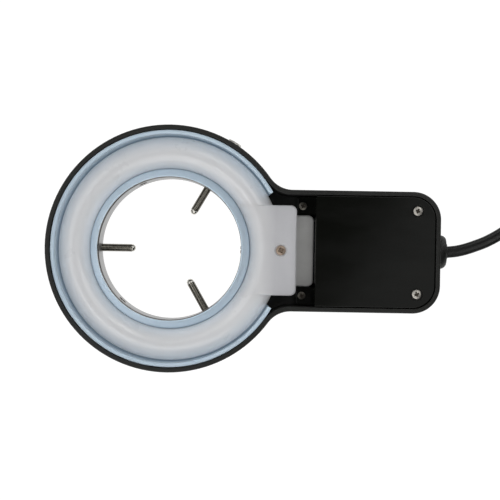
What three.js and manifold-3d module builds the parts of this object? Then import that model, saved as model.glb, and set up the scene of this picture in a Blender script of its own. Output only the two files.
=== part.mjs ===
// Fluorescent ring light for a stereo microscope, lying on its back with the light side up.
// Units are millimetres, +Z is up and the surface it lies on is z = 0. +X runs from the ring
// to the handle. Everything is placed from the ring's axis, which the group 'head' moves to
// RING_X so that the origin is at the middle of the object's footprint.
import * as THREE from 'three';
import { mergeVertices } from 'three/addons/utils/BufferGeometryUtils.js';
import Module from 'manifold-3d';

const wasm = await Module();
wasm.setup();

// ---- driving dimensions ----
const GAP = 0.3; // between pieces that touch on the real object
const RIM_Z = 32; // front rim of the housing
const RING_R = 53.6; // outside of the ring
const RING_BACK_Z = 7.4; // back of the ring, which stands off by the collar's height
const WALL = 2.0; // housing side walls
const FLOOR = 1.8; // housing floor
const HANDLE_HALF = 26.3; // half the handle's width
const HANDLE_END = 117.5; // far end of the handle
const HANDLE_CORNER = 11; // its outer corner radius
const BLEND_R = 12; // concave blend between ring and handle
const BOX_X = 56; // the ballast box is full depth from here to the end
const SIDES = 48; // of a large round piece
const FACET_DEG = 360 / SIDES;

const BORE_R = 31.2; // clear hole, inside of the collar
const COLLAR_R = 36; // collar flange
const SPIGOT_R = 32.7; // the part of the collar inside the housing
const COLLAR_TOP_Z = 20.5;
const CHAMFER = 0.5; // on the edges of turned pieces
const NECK = { r: 33.8, shoulderZ: 19.2, topR: 31.9, topZ: 23.6 }; // housing neck round the spigot
const NECK_BORE_R = BORE_R + 0.4;

const LAMP_R = 42.35; // centre circle of the lamp tube
const TUBE_R = 7.15;
const LAMP_Z = 18;
const CHANNEL_HALF = 7.45; // reflector channel, each side of the lamp's centre circle
const LIP_R = 51.3; // outer lip of the reflector
const LIP_Z = 31;
const INNER_RIM = { r: 31.5, z: 27 };
const SLOPE_Z = 19.4; // the reflector's inner wall leans in from here up to its inner rim
const SHEET = 0.8; // reflector thickness
const REFLECTOR_CUT_DEG = 29.3; // half of the gap left for the lamp's base

const TAB = { x0: 40.4, x1: 55.4, half: 19.7, z0: 17.3, z1: 24.55, corner: 2 };
const HOLE_R = 1.4; // holes for the self-tapping screws and for the lamp's pins
const SHANK_R = 1.1; // those screws' shanks, and the lamp's pins
const LAMP_SCREW = { x: 48.65, headR: 2, seatR: 2.9, seatDepth: 1.6 };
const PIN_X = 52.5;
const PIN_YS = [-12, -4, 4, 12];
const SOCKET = { x0: 50, x1: 63.2, half: 15.7, z0: 9.5, z1: 17, corner: 2 };

const COVER = { x0: 63.5, x1: 115.2, half: 24, z1: 31.3, thick: 2, corner: 8.7 };
const SHELF = { x0: 55.9, z0: 14.5, z1: 16 }; // the cover's low shelf beside the socket
const COVER_SCREW = { x: 107.5, y: 18, headR: 1.95, seatR: 2.45, seatDepth: 1.2 };
const SHELF_SCREW = { x: 58.2, y: 19.74, headR: 1.75 };
// Bosses that rise from the housing floor: their radii and the heights of their tops.
const LAMP_BOSS = { r: 2.4, z: 12 };
const COVER_BOSS = { r: 3.2, z: 29 };
const SHELF_BOSS = { r: 2.5, z: SHELF.z0 - GAP };
const BOARD_BOSS = { r: 2, inset: 3.5 };

const THUMB_Z = 3.7; // axis height of the thumbscrews
const THUMB_LENGTH = 37.6;
const THUMB_R = 1.75; // M3.5
const THUMB_HEAD = { r: 3.3, length: 9, bossR: 2.5, boss: 0.6 };
const THUMB_TIP = { r: 1.65, length: 1.8, stemR: 0.6, stem: 2 }; // a swivel tip and its stem
const THUMBS = [{ deg: 180, tip: 16 }, { deg: 60, tip: 18 }, { deg: -60, tip: 15.7 }];
const COLLAR_SCREW = { degs: [0, 114, 228], z: 13, headR: 1.8, shankR: 1 };

const SWITCH = { x: 72.5, pivotZ: 5, tiltDeg: -10, pinR: 0.75 };
const BEZEL = { halfX: 7.5, halfY: 10.5, z0: 2.1, z1: 3.1 }; // the switch's flange
const SWITCH_BOX = { halfX: 6.3, halfY: 9.3, z: 16.5, wall: 1, floorZ: 8.6 };
const ROCKER = { halfX: 5, halfY: 7.6 };
const BOARD = { x0: 81.5, x1: 103.5, half: 21, z0: 6, z1: 7.6 };
const CHOKE = { x: 91, halfX: 8, halfY: 2.8, leg: 2.2, top: 21, windowZ: [10.2, 18.8] };
const PARTS_Z = BOARD.z1 + GAP; // underside of what stands on the board

const EXIT = { x: 122, y: 0.5, z: 16 }; // where the cord leaves its strain relief
const RELIEF = { neckR: 5.7, flangeR: 7.45, innerX: 101.5 };
const CORD = { width: 5.1, thick: 2.7 };
const COIL = { x: 192, r: 28, half: 8, z0: 0.7, z1: 9.5 }; // centred on the handle's axis
const TIE = { deg: 200, half: 4, thick: 0.45 };
const TAIL = { r: 23, y: 10.3, fromDeg: 73 }; // the cord's last bend, over the coil to the plug
const PLUG = {
  x: COIL.x + TAIL.r, z: 15.8, half: 11.5, thick: 12, relief: 14, length: 34, coneR: [3.6, 5.4],
};
const BLADE = { apart: 12.7, wide: 6.3, thick: 1.5, length: 17.5, inside: 3 };
const RING_X = -(EXIT.x - RING_R) / 2;

// ---- solids ----
function solidOf(geometry) {
  const bare = geometry.index ? geometry.toNonIndexed() : geometry.clone();
  bare.deleteAttribute('normal');
  bare.deleteAttribute('uv');
  const merged = mergeVertices(bare, 1e-4);
  const triVerts = [];
  for (let i = 0; i < merged.index.count; i += 3) {
    const [a, b, c] = [0, 1, 2].map((k) => merged.index.getX(i + k));
    if (a !== b && b !== c && c !== a) triVerts.push(a, b, c);
  }
  const make = (order) => new wasm.Manifold(new wasm.Mesh({
    numProp: 3,
    vertProperties: new Float32Array(merged.attributes.position.array),
    triVerts: new Uint32Array(order),
  }));
  const solid = make(triVerts);
  return solid.volume() > 0 ? solid : make(triVerts.reverse());
}

function geometryOf(solid) {
  const { vertProperties, triVerts } = solid.getMesh();
  const geometry = new THREE.BufferGeometry();
  geometry.setAttribute('position', new THREE.BufferAttribute(new Float32Array(vertProperties), 3));
  geometry.setIndex(new THREE.BufferAttribute(new Uint32Array(triVerts), 1));
  const flat = geometry.toNonIndexed();
  flat.computeVertexNormals();
  return flat;
}

const join = (first, ...rest) => rest.reduce((solid, other) => solid.add(other), first);
const cut = (first, ...rest) => rest.reduce((solid, other) => solid.subtract(other), first);

// A box from its low and high sides.
function bar([x0, x1], [y0, y1], [z0, z1]) {
  const box = new THREE.BoxGeometry(x1 - x0, y1 - y0, z1 - z0);
  return solidOf(box.translate((x0 + x1) / 2, (y0 + y1) / 2, (z0 + z1) / 2));
}

// A closed profile of [radius, height] turned about the Z axis.
function turned(profile, sides) {
  const points = profile.map(([r, z]) => new THREE.Vector2(r, z));
  if (profile[0][0] > 0) points.push(points[0].clone());
  return solidOf(new THREE.LatheGeometry(points, sides).rotateX(Math.PI / 2));
}

// A box about the X axis's upright plane, from its middle and half sizes.
const slab = (x, halfX, halfY, span) => bar([x - halfX, x + halfX], [-halfY, halfY], span);

const rod = (r, [z0, z1], sides = 16) => turned([[0, z0], [r, z0], [r, z1], [0, z1]], sides);
const upright = (r, x, y, span, sides) => rod(r, span, sides).translate([x, y, 0]);

function arc(cx, cy, r, fromDeg, toDeg, stepDeg = FACET_DEG) {
  const steps = Math.max(3, Math.round(Math.abs(toDeg - fromDeg) / stepDeg));
  return Array.from({ length: steps + 1 }, (_, i) => {
    const a = THREE.MathUtils.degToRad(fromDeg + ((toDeg - fromDeg) * i) / steps);
    return new THREE.Vector2(cx + r * Math.cos(a), cy + r * Math.sin(a));
  });
}

function prism(points, [z0, z1]) {
  const options = { depth: z1 - z0, bevelEnabled: false };
  return solidOf(new THREE.ExtrudeGeometry(new THREE.Shape(points), options).translate(0, 0, z0));
}

// A plate from x0 to x1, square at x0 and with round corners at x1.
function plate(x0, x1, half, corner, span) {
  const [cx, cy] = [x1 - corner, half - corner];
  return prism([
    new THREE.Vector2(x0, -half),
    ...arc(cx, -cy, corner, -90, 0, 15),
    ...arc(cx, cy, corner, 0, 90, 15),
    new THREE.Vector2(x0, half),
  ], span);
}

// The outline of ring and handle together, moved in by inset.
function headOutline(inset) {
  const [ring, half, blend] = [RING_R - inset, HANDLE_HALF - inset, BLEND_R + inset];
  const [corner, end] = [HANDLE_CORNER - inset, HANDLE_END - inset];
  const [cx, cy] = [end - corner, half - corner];
  const bx = Math.sqrt((ring + blend) ** 2 - (half + blend) ** 2);
  const deg = THREE.MathUtils.radToDeg(Math.atan2(half + blend, bx));
  return [
    ...arc(0, 0, ring, deg, 360 - deg),
    ...arc(bx, -half - blend, blend, 180 - deg, 90, 10).slice(1),
    ...arc(cx, -cy, corner, -90, 0, 10),
    ...arc(cx, cy, corner, 0, 90, 10),
    ...arc(bx, half + blend, blend, 270, 180 + deg, 10).slice(0, -1),
  ];
}

function sector(r0, r1, halfDeg, span) {
  return prism([...arc(0, 0, r1, -halfDeg, halfDeg), ...arc(0, 0, r0, halfDeg, -halfDeg)], span);
}

// A cord or wire of oval section along a smooth curve through the given points.
function strand(points, { width, thick, sides = 8, steps }) {
  const curve = new THREE.CatmullRomCurve3(points.map((p) => new THREE.Vector3(...p)));
  const section = Array.from({ length: sides }, (_, i) => {
    const a = (2 * Math.PI * (i + 0.5)) / sides;
    return new THREE.Vector2((thick / 2) * Math.cos(a), (width / 2) * Math.sin(a));
  });
  const options = { steps, extrudePath: curve, bevelEnabled: false };
  return solidOf(new THREE.ExtrudeGeometry(new THREE.Shape(section), options));
}

// ---- materials ----
function finish(color, roughness, metalness = 0) {
  return () => new THREE.MeshStandardMaterial({ color, roughness, metalness });
}
const blackPlastic = finish(0x1c1c1b, 0.45);
const glossBlack = finish(0x171716, 0.18);
const whiteReflector = finish(0xc9d8ea, 0.25);
const milkyGlass = finish(0xd4d6d9, 0.3);
const milkyPlastic = finish(0xcfd3d8, 0.4);
const socketPlastic = finish(0xb4b6b8, 0.5);
const satinMetal = finish(0xb9b5ae, 0.3, 1);
const darkSteel = finish(0x5c584d, 0.3, 1);
const brightSteel = finish(0xc8c6c0, 0.25, 1);
const brass = finish(0x9c7a5c, 0.35, 1);
const nylon = finish(0xcfcabb, 0.4);
const blackRubber = finish(0x1b1b1b, 0.6);
const board = finish(0x2f6b3c, 0.5);
const ferrite = finish(0x2b2b2d, 0.7);
const copper = finish(0xb06a3a, 0.35, 1);
const filmBlue = finish(0x2c3f78, 0.4);

const head = new THREE.Group();
head.position.x = RING_X;

function add(name, solid, material, parent = head) {
  const mesh = new THREE.Mesh(geometryOf(solid), material());
  mesh.name = name;
  parent.add(mesh);
  return mesh;
}

// ---- housing ----
function housing() {
  const floorTop = RING_BACK_Z + FLOOR;
  const box = plate(BOX_X, HANDLE_END, HANDLE_HALF, HANDLE_CORNER, [0, floorTop]);
  const boxInside = plate(BOX_X + WALL, HANDLE_END - WALL, HANDLE_HALF - WALL, HANDLE_CORNER - WALL,
    [FLOOR, floorTop + 1]);
  const shell = cut(
    join(prism(headOutline(0), [RING_BACK_Z, RIM_Z]), box),
    prism(headOutline(WALL), [floorTop, RIM_Z + 1]),
    boxInside,
  );
  const neck = turned([[0, RING_BACK_Z], [NECK.r, RING_BACK_Z], [NECK.r, NECK.shoulderZ],
    [NECK.topR, NECK.topZ], [0, NECK.topZ]], SIDES);
  const bore = turned([[0, -1], [SPIGOT_R + GAP, -1], [SPIGOT_R + GAP, COLLAR_TOP_Z + GAP],
    [NECK_BORE_R, COLLAR_TOP_Z + GAP], [NECK_BORE_R, RIM_Z + 1], [0, RIM_Z + 1]], SIDES);
  return cut(
    join(shell, neck, switchPocket(), ...bosses()),
    bore,
    ...switchOpening(),
    ...screwHoles(),
    ...collarScrewHoles(),
    reliefHole(),
  );
}

// The switch sits in a pocket so that the box still lies flat on its back.
function switchPocket() {
  const around = 2.7;
  return slab(SWITCH.x, BEZEL.halfX + around, BEZEL.halfY + around, [0, BEZEL.z1 + GAP + 1.7]);
}

function switchOpening() {
  const finger = 1.1; // room round the flange
  return [
    slab(SWITCH.x, BEZEL.halfX + finger, BEZEL.halfY + finger, [-1, BEZEL.z1 + GAP]),
    slab(SWITCH.x, SWITCH_BOX.halfX + GAP, SWITCH_BOX.halfY + GAP, [BEZEL.z1 - 0.1, FLOOR + 4.2]),
  ];
}

// Upright bosses or holes on both sides of the handle.
const pair = (r, { x, y }, span, sides) => [-1, 1].map((side) => upright(r, x, side * y, span, sides));

function bosses() {
  const inFloor = FLOOR - 1.3;
  const boardRow = (x) => pair(BOARD_BOSS.r, { x, y: BOARD.half - BOARD_BOSS.inset },
    [inFloor, BOARD.z0 - GAP], 12);
  return [
    upright(LAMP_BOSS.r, LAMP_SCREW.x, 0, [RING_BACK_Z + inFloor, LAMP_BOSS.z]),
    ...pair(COVER_BOSS.r, COVER_SCREW, [inFloor, COVER_BOSS.z]),
    ...pair(SHELF_BOSS.r, SHELF_SCREW, [inFloor, SHELF_BOSS.z]),
    ...boardRow(BOARD.x0 + BOARD_BOSS.inset),
    ...boardRow(BOARD.x1 - BOARD_BOSS.inset),
  ];
}

function screwHoles() {
  return [
    upright(HOLE_R, LAMP_SCREW.x, 0, [RING_BACK_Z + 1, LAMP_BOSS.z + 1]),
    ...pair(HOLE_R, COVER_SCREW, [COVER_BOSS.z - 12, COVER_BOSS.z + 1]),
    ...pair(HOLE_R, SHELF_SCREW, [SHELF_BOSS.z - 8.2, SHELF_BOSS.z + 0.8]),
  ];
}

const outward = (solid, deg, z) => solid.rotate([0, 90, 0]).translate([0, 0, z]).rotate([0, 0, deg]);

function collarScrewHoles() {
  const hole = [BORE_R - 1.2, NECK.r + 1];
  return COLLAR_SCREW.degs.map((deg) => outward(rod(COLLAR_SCREW.shankR + GAP, hole), deg,
    COLLAR_SCREW.z));
}

function reliefHole() {
  const hole = rod(RELIEF.neckR + GAP, [HANDLE_END - 7.5, HANDLE_END + 2.5], 24);
  return outward(hole, 0, EXIT.z).translate([0, EXIT.y, 0]);
}

// ---- collar and thumbscrews ----
function collar() {
  const flangeTop = RING_BACK_Z - GAP;
  const body = turned([[BORE_R, CHAMFER], [BORE_R + CHAMFER, 0], [COLLAR_R - CHAMFER, 0],
    [COLLAR_R, CHAMFER], [COLLAR_R, flangeTop], [SPIGOT_R, flangeTop], [SPIGOT_R, COLLAR_TOP_Z],
    [BORE_R, COLLAR_TOP_Z]], SIDES);
  const [inner, outer] = [BORE_R - 3, COLLAR_R + 4];
  const threads = THUMBS.map(({ deg }) => outward(rod(THUMB_R + 0.1, [inner, outer]), deg, THUMB_Z));
  const [headR, shankR] = [COLLAR_SCREW.headR + 0.4, COLLAR_SCREW.shankR + GAP];
  const seat = turned([[0, inner], [headR, inner], [headR, BORE_R], [shankR, BORE_R + 0.9],
    [shankR, outer], [0, outer]], 16);
  return cut(body, ...threads, ...COLLAR_SCREW.degs.map((deg) => outward(seat, deg, COLLAR_SCREW.z)));
}

// Countersunk, with its head at the bore, and drawn along +Z as it points out from the axis.
function collarScrew() {
  const { headR, shankR } = COLLAR_SCREW;
  return turned([[0, BORE_R - 0.35], [headR - 0.3, BORE_R - 0.2], [headR, BORE_R + 0.1],
    [shankR, BORE_R + 0.9], [shankR, NECK.r - 0.2], [0, NECK.r - 0.2]], 12);
}

// Both are drawn along +Z from the tip's end and then turned to point outward.
function thumbTip() {
  const { r, length, stemR, stem } = THUMB_TIP;
  return turned([[0, 0], [r * 0.55, 0.15], [r * 0.86, 0.6], [r, 1.3], [r, length], [stemR, length],
    [stemR, length + stem], [0, length + stem]], 12);
}

function thumbScrew() {
  const { r, length, bossR, boss } = THUMB_HEAD;
  const under = THUMB_LENGTH - length;
  const [start, socketR] = [THUMB_TIP.length + GAP, THUMB_TIP.stemR + 0.12];
  const socketEnd = THUMB_TIP.length + THUMB_TIP.stem + 0.2;
  return turned([[0, socketEnd], [socketR, socketEnd], [socketR, start], [THUMB_R - 0.2, start],
    [THUMB_R, start + 0.3], [THUMB_R, under - boss], [bossR, under - boss], [bossR, under],
    [r - CHAMFER, under], [r, under + CHAMFER], [r, THUMB_LENGTH - CHAMFER],
    [r - CHAMFER, THUMB_LENGTH], [1.6, THUMB_LENGTH], [1.2, THUMB_LENGTH - 0.8],
    [0, THUMB_LENGTH - 0.8]], 16);
}

function addThumbScrews() {
  THUMBS.forEach(({ deg, tip }, i) => {
    const arm = new THREE.Group();
    arm.position.z = THUMB_Z;
    arm.rotation.z = THREE.MathUtils.degToRad(deg);
    head.add(arm);
    for (const [name, solid, material] of [
      [`thumbscrew_tip_${i + 1}`, thumbTip(), nylon],
      [`thumbscrew_${i + 1}`, thumbScrew(), darkSteel],
    ]) {
      add(name, solid.rotate([0, 90, 0]), material, arm).position.x = tip;
    }
  });
}

// ---- reflector and lamp ----
function reflector() {
  const [outer, inner] = [LAMP_R + CHANNEL_HALF, LAMP_R - CHANNEL_HALF];
  const bottom = RING_BACK_Z + FLOOR + GAP;
  const top = bottom + SHEET;
  const { r, z } = INNER_RIM;
  const tray = turned([
    [outer, LIP_Z], [LIP_R, LIP_Z], [LIP_R, LIP_Z - SHEET], [outer + SHEET, LIP_Z - SHEET],
    [outer + SHEET, bottom + 1], [outer + SHEET - 1, bottom], [inner - SHEET + 1, bottom],
    [inner - SHEET, bottom + 1], [inner - SHEET, SLOPE_Z - 0.1], [r - 0.1, z - 1.5],
    [r - 0.1, z - 0.2], [r + 0.1, z], [r + CHAMFER, z], [inner, SLOPE_Z + 0.1], [inner, top + 1],
    [inner + 1, top], [outer - 1, top], [outer, top + 1],
  ], SIDES);
  return cut(tray, sector(LAMP_R + 1.2, LIP_R + 5, REFLECTOR_CUT_DEG, [0, RIM_Z]));
}

function lampRing() {
  const facetDeg = 360 / 14;
  const section = arc(LAMP_R, LAMP_Z, TUBE_R, 0, 360 - facetDeg, facetDeg);
  return turned(section.map(({ x, y }) => [x, y]), SIDES);
}

const lampEnd = (half) => bar([0, LAMP_R + 2 * TUBE_R], [-half, half], [0, RIM_Z]);

const lampTube = () => cut(lampRing(), lampEnd(TAB.half + GAP));

function lampBase() {
  const tab = plate(TAB.x0 + 3, TAB.x1, TAB.half, TAB.corner, [TAB.z0, TAB.z1]);
  const { x, seatR, seatDepth } = LAMP_SCREW;
  return cut(
    join(lampRing().intersect(lampEnd(TAB.half)), tab),
    upright(seatR, x, 0, [TAB.z1 - seatDepth, TAB.z1 + 1]),
    upright(HOLE_R, x, 0, [0, TAB.z1]),
    ...PIN_YS.map((y) => upright(HOLE_R, PIN_X, y, [TAB.z0 - 1, TAB.z0 + 3])),
  );
}

function lampSocket() {
  const { x0, x1, half, z0, z1, corner } = SOCKET;
  const holes = PIN_YS.map((y) => upright(HOLE_R, PIN_X, y, [z0 + 0.8, z1 + 1]));
  const bossRoom = upright(LAMP_BOSS.r + GAP, LAMP_SCREW.x, 0, [0, LAMP_BOSS.z + GAP]);
  return cut(plate(x0, x1, half, corner, [z0, z1]), bossRoom, ...holes);
}

// A self-tapping screw with a cross recess, upright on the origin.
function screw(headR, headTop, headHeight, bottom, crossDepth) {
  const seat = headTop - headHeight;
  const body = turned([[0, bottom], [SHANK_R - 0.5, bottom], [SHANK_R, bottom + 1.2], [SHANK_R, seat],
    [headR, seat], [headR, headTop - 0.4], [headR * 0.7, headTop], [0, headTop]], 12);
  const slot = [headTop - crossDepth, headTop + 1];
  return cut(body, slab(0, 1.1, 0.28, slot), slab(0, 0.28, 1.1, slot));
}

// ---- cover ----
function ballastCover() {
  const { x0, x1, half, z1, thick, corner } = COVER;
  const lid = join(
    plate(x0, x1, half, corner, [z1 - thick, z1]),
    bar([x0, x0 + SHELF.z1 - SHELF.z0], [-half, half], [SHELF.z0, z1 - thick + 0.5]),
    bar([SHELF.x0, x0 + 0.5], [-half, half], [SHELF.z0, SHELF.z1]),
  );
  const socketGap = bar([SHELF.x0 - 1, x0], [-SOCKET.half - GAP, SOCKET.half + GAP], [0, SHELF.z1 + 1]);
  const { seatR, seatDepth } = COVER_SCREW;
  return cut(
    lid,
    socketGap,
    ...pair(seatR, COVER_SCREW, [z1 - seatDepth, z1 + 1]),
    ...pair(HOLE_R, COVER_SCREW, [z1 - thick - 1, z1]),
    ...pair(HOLE_R, SHELF_SCREW, [SHELF.z0 - 1, SHELF.z1 + 1]),
  );
}

// ---- switch ----
function switchBody() {
  const { x, pinR } = SWITCH;
  const { halfX, halfY, z, wall, floorZ } = SWITCH_BOX;
  const tabHalf = { x: 2.4, y: 0.4 };
  const tabs = [-5.2, 5.2].map((y) => slab(x, tabHalf.x, tabHalf.y, [z - 0.5, z + 5.5])
    .translate([0, y, 0]));
  return cut(
    join(
      slab(x, BEZEL.halfX, BEZEL.halfY, [BEZEL.z0, BEZEL.z1]),
      slab(x, halfX, halfY, [BEZEL.z1 - 0.1, z]),
      ...tabs,
    ),
    slab(x, halfX - wall, halfY - wall + 0.1, [0, floorZ]),
    ...[-1, 1].map((side) => rockerAxis(pinR + 0.1, 2).translate([side * halfX, 0, 0])),
  );
}

const rockerAxis = (r, half) => rod(r, [-half, half], 12).rotate([0, 90, 0])
  .translate([SWITCH.x, 0, SWITCH.pivotZ]);

// Drawn level about its pivot, with both ends of its face a little proud of the middle.
function switchRocker() {
  const { halfX, halfY } = ROCKER;
  const face = [[-halfY, -2.6], [0, -1.7], [halfY, -2.6], [halfY - 0.6, 1.4], [1.6, 2.4], [-1.6, 2.4],
    [-halfY + 0.6, 1.4]];
  const shape = new THREE.Shape(face.map(([y, z]) => new THREE.Vector2(y, z)));
  const block = new THREE.ExtrudeGeometry(shape, { depth: 2 * halfX, bevelEnabled: false });
  block.rotateX(Math.PI / 2).rotateZ(Math.PI / 2).translate(-halfX, 0, 0);
  return cut(solidOf(block), rod(SWITCH.pinR + 0.15, [-7, 7], 12).rotate([0, 90, 0]));
}

// ---- ballast ----
function addChoke() {
  const { x, halfX, halfY, leg, top, windowZ } = CHOKE;
  const windowHalf = 1.7;
  const windowX = leg + windowHalf;
  const core = cut(
    slab(x, halfX, halfY, [PARTS_Z, top]),
    ...[-1, 1].map((side) => slab(x + side * windowX, windowHalf, halfY + 1.2, windowZ)),
  );
  const coil = [windowZ[0] + GAP, windowZ[1] - GAP];
  const winding = cut(
    slab(x, windowX + windowHalf - GAP, 6.5, coil),
    slab(x, leg + GAP, halfY + GAP, [coil[0] - 1, coil[1] + 1]),
  );
  add('choke_core', core, ferrite);
  add('choke_winding', winding, copper);
}

// A can with rounded ends and the rolled groove near its foot.
function bulkCapacitor() {
  const [r, height, groove] = [5, 16, 1.8];
  return turned([[0, PARTS_Z], [r - 0.4, PARTS_Z], [r, PARTS_Z + 0.5], [r - 0.3, PARTS_Z + groove],
    [r, PARTS_Z + groove + 1.2], [r, PARTS_Z + height - 0.4], [r - 0.4, PARTS_Z + height],
    [0, PARTS_Z + height]], 20);
}

function addBallast() {
  const { x0, x1, half, z0, z1 } = BOARD;
  add('ballast_board', bar([x0, x1], [-half, half], [z0, z1]), board);
  addChoke();
  add('bulk_capacitor', bulkCapacitor().translate([CHOKE.x + 2.5, -14.5, 0]), blackRubber);
  [11.5, 18].forEach((y, i) => {
    const block = slab(CHOKE.x, 5.5, 2.5, [PARTS_Z, PARTS_Z + 9]).translate([0, y, 0]);
    add(`film_capacitor_${i + 1}`, block, filmBlue);
  });
  [-17, -8].forEach((y, i) => {
    const block = slab(x0 + 2.35, 1.35, 3.6, [PARTS_Z, PARTS_Z + 11]).translate([0, y, 0]);
    add(`transistor_${i + 1}`, block, blackRubber);
  });
  const fuse = rod(1.5, [-4.5, 4.5], 12).rotate([90, 0, 0]);
  add('fuse', fuse.translate([x1 - 2.5, -12, PARTS_Z + 1.6]), brightSteel);
}

function addWires() {
  const wire = { width: 1.3, thick: 1.3, sides: 6, steps: 14 };
  for (const side of [-1, 1]) {
    const lead = strand([[60.6, side * 12.2, 9.1], [61.2, side * 12.4, 6.8], [66, side * 15, 5.4],
      [74, side * 16.6, 7], [80, side * 13.6, 10.6], [82.7, side * 12.5, 8.1]], wire);
    add(side < 0 ? 'lamp_lead_left' : 'lamp_lead_right', lead, nylon);
  }
  add('mains_core_live', strand([[101, 1.6, EXIT.z], [100.2, 2.4, 20], [97, 4.4, 24],
    [90, 6.4, 25.4], [80, 8, 25.6], [73.4, 6.4, 25], [72.5, 5.2, 22.5]], wire), blackRubber);
  add('mains_core_neutral', strand([[101, -1.1, EXIT.z], [100.5, -2.6, 14.6], [100.4, -4, 11.4],
    [100.4, -4.6, 8.1]], wire), blackRubber);
  add('switch_lead', strand([[72.5, -5.2, 22.5], [73.4, -6, 24.6], [79, -8.6, 24.6],
    [85, -11.6, 22.6], [87.5, -12.5, 18], [87.5, -12.5, 8.1]], wire), blackRubber);
}

// ---- strain relief, cord and plug ----
// A bushing that snaps into the end wall, with a domed flange outside and a long neck inside.
function strainRelief() {
  const { neckR, flangeR, innerX } = RELIEF;
  const wallIn = HANDLE_END - WALL;
  const flange = HANDLE_END + GAP;
  const body = turned([[0, innerX], [3.9, innerX], [4.3, innerX + 0.7], [neckR - 0.2, wallIn - 1],
    [neckR, HANDLE_END], [neckR, flange], [flangeR, flange], [flangeR, flange + 1.1],
    [flangeR - 0.55, flange + 2.4], [flangeR - 2, EXIT.x - 0.6], [4.2, EXIT.x], [0, EXIT.x]], 24);
  const [halfWidth, halfThick] = [CORD.width / 2 + 0.2, CORD.thick / 2 + 0.2];
  const slot = bar([innerX - 1, EXIT.x + 1], [-halfWidth, halfWidth], [-halfThick, halfThick]);
  return cut(outward(body, 0, 0), slot).translate([0, EXIT.y, EXIT.z]);
}

// Straight out of the strain relief, down to the surface and into the coil's outer turn.
const LEAD_ROUTE = [
  [122, 0.5, 16], [126, 0.95, 15.95], [130.2, 1.95, 15.6], [135, 3.6, 14.8], [139.2, 5.25, 13.8],
  [144, 7.7, 12.2], [149, 10.7, 10], [154, 14, 7.4], [159, 17.5, 4.9], [164.5, 21.4, 2.9],
  [170, 25.2, 2], [175.4, 28.8, 1.85], [180.6, 31.3, 1.85],
];

function coilSolid(grow) {
  const { r, half, z0, z1, x } = COIL;
  const [inner, outer] = [r - half - grow, r + half + grow];
  return turned([[inner, z0 - grow], [outer, z0 - grow], [outer, z1 + grow], [inner, z1 + grow]], 36)
    .translate([x, 0, 0]);
}

// A flat band round all the coil's turns.
function cordTie() {
  const { r, half, z0, z1, x } = COIL;
  const around = 0.25;
  const loop = (grow) => bar([r - half - CHAMFER - grow, r + half + grow], [-TIE.half, TIE.half],
    [z0 - grow, z1 + grow]);
  const inside = loop(around).scale([1, 1.5, 1]);
  return cut(loop(around + TIE.thick), inside).rotate([0, 0, TIE.deg]).translate([x, 0, 0]);
}

function plugBody() {
  const { x, z, half, thick, relief, length, coneR } = PLUG;
  const back = TAIL.y - GAP;
  const cone = turned([[0, 0], [coneR[0], 0], [coneR[1], relief + 1], [0, relief + 1]], 16)
    .rotate([90, 0, 0]).translate([x, back, z]);
  const block = bar([x - half, x + half], [back - length, back - relief],
    [z - thick / 2, z + thick / 2]);
  const slots = [-1, 1].map((side) => bladeBar(side, GAP));
  return cut(join(block, cone), ...slots);
}

function bladeBar(side, grow) {
  const { x, z, length } = PLUG;
  const [bx, face] = [x + (side * BLADE.apart) / 2, TAIL.y - GAP - length];
  const [w, t] = [BLADE.wide / 2 + grow, BLADE.thick / 2 + grow];
  return bar([bx - t, bx + t], [face - BLADE.length, face + BLADE.inside + grow], [z - w, z + w]);
}

function addCord() {
  const route = LEAD_ROUTE.map(([x, y, z], i) => [i ? x : x + GAP, y, z]);
  const lead = cut(strand(route, { ...CORD, steps: 26 }), coilSolid(GAP));
  add('cord_lead', lead, blackRubber);
  add('cord_coil', coilSolid(0), blackRubber);
  add('cord_tie', cordTie(), nylon);
  const bend = arc(COIL.x, TAIL.y, TAIL.r, TAIL.fromDeg, 0, 12);
  const tail = bend.map(({ x, y }, i) => [x, y, THREE.MathUtils.lerp(11.3, PLUG.z,
    THREE.MathUtils.smootherstep(i / (bend.length - 1), -0.4, 1))]);
  add('cord_tail', strand(tail, { ...CORD, steps: 8 }), blackRubber);
  add('plug_body', plugBody(), blackRubber);
  [-1, 1].forEach((side, i) => add(`plug_blade_${i + 1}`, bladeBar(side, 0), brass));
}

add('housing', housing(), blackPlastic);
add('reflector', reflector(), whiteReflector);
add('lamp_tube', lampTube(), milkyGlass);
add('lamp_base', lampBase(), milkyPlastic);
PIN_YS.forEach((y, i) => add(`lamp_pin_${i + 1}`, upright(SHANK_R, PIN_X, y, [11, 20], 12), brass));
add('lamp_screw', screw(LAMP_SCREW.headR, TAB.z1 - 0.3, 1.2, RING_BACK_Z + 1.4, 0.6)
  .translate([LAMP_SCREW.x, 0, 0]), brass);
add('lamp_socket', lampSocket(), socketPlastic);
add('ballast_cover', ballastCover(), glossBlack);
for (const [i, side] of [1, -1].entries()) {
  add(`cover_screw_${i + 1}`, screw(COVER_SCREW.headR, COVER.z1 - 0.1, 1, COVER_BOSS.z - 10, 0.5)
    .translate([COVER_SCREW.x, side * COVER_SCREW.y, 0]), brightSteel);
  add(`shelf_screw_${i + 1}`, screw(SHELF_SCREW.headR, SHELF.z1 + 1.3, 1.2, 8, 0.6)
    .translate([SHELF_SCREW.x, side * SHELF_SCREW.y, 0]), darkSteel);
}
add('collar', collar(), satinMetal);
COLLAR_SCREW.degs.forEach((deg, i) => {
  add(`collar_screw_${i + 1}`, outward(collarScrew(), deg, COLLAR_SCREW.z), darkSteel);
});
addThumbScrews();
add('switch_body', switchBody(), blackPlastic);
add('rocker_pin', rockerAxis(SWITCH.pinR, 6), brightSteel);
const rocker = add('switch_rocker', switchRocker(), glossBlack);
rocker.position.set(SWITCH.x, 0, SWITCH.pivotZ);
rocker.rotation.x = THREE.MathUtils.degToRad(SWITCH.tiltDeg);
addBallast();
addWires();
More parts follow.
